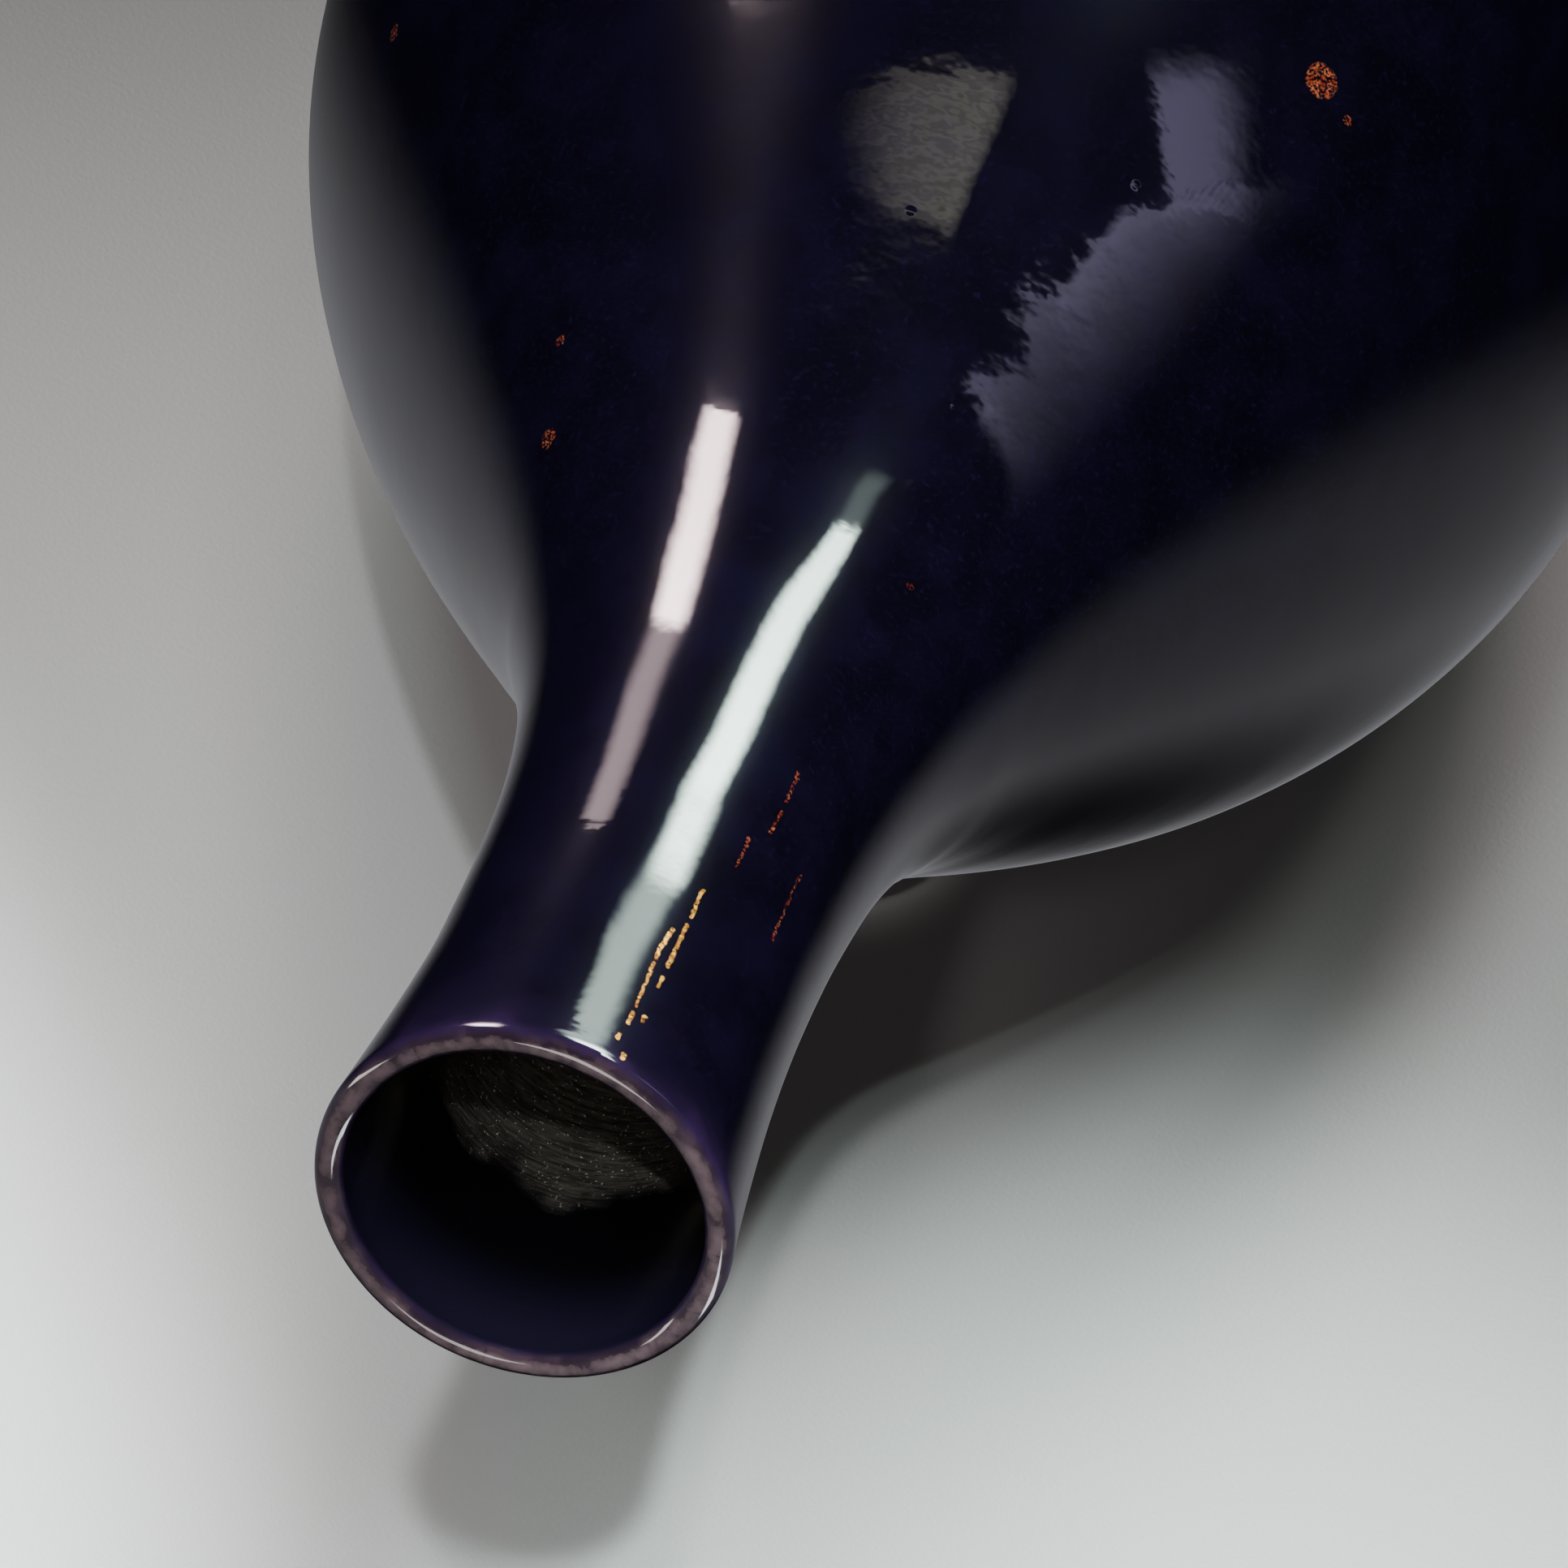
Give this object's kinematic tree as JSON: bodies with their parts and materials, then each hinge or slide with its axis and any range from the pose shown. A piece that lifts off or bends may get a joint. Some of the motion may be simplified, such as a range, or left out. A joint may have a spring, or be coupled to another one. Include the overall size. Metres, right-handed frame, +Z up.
{
  "type": "bottle vase",
  "caption": "Round-bellied porcelain bottle vase with a long narrow neck, slightly flared mouth and low foot ring, in a dark blue-violet glaze with worn gilding.",
  "frame": {"origin": "centre of the foot ring, on the surface that the vase stands on", "axes": "+Z up along the vase's axis, from the foot to the mouth; the vase is round, so X and Y are alike"},
  "size_m": [0.119, 0.119, 0.203],
  "materials": {
    "glazed_porcelain": "glossy dark blue-violet glaze over white porcelain, with worn gilding and a bare foot ring"
  },
  "bodies": {
    "root": {"vase": "glazed_porcelain"}
  },
  "joints": []
}
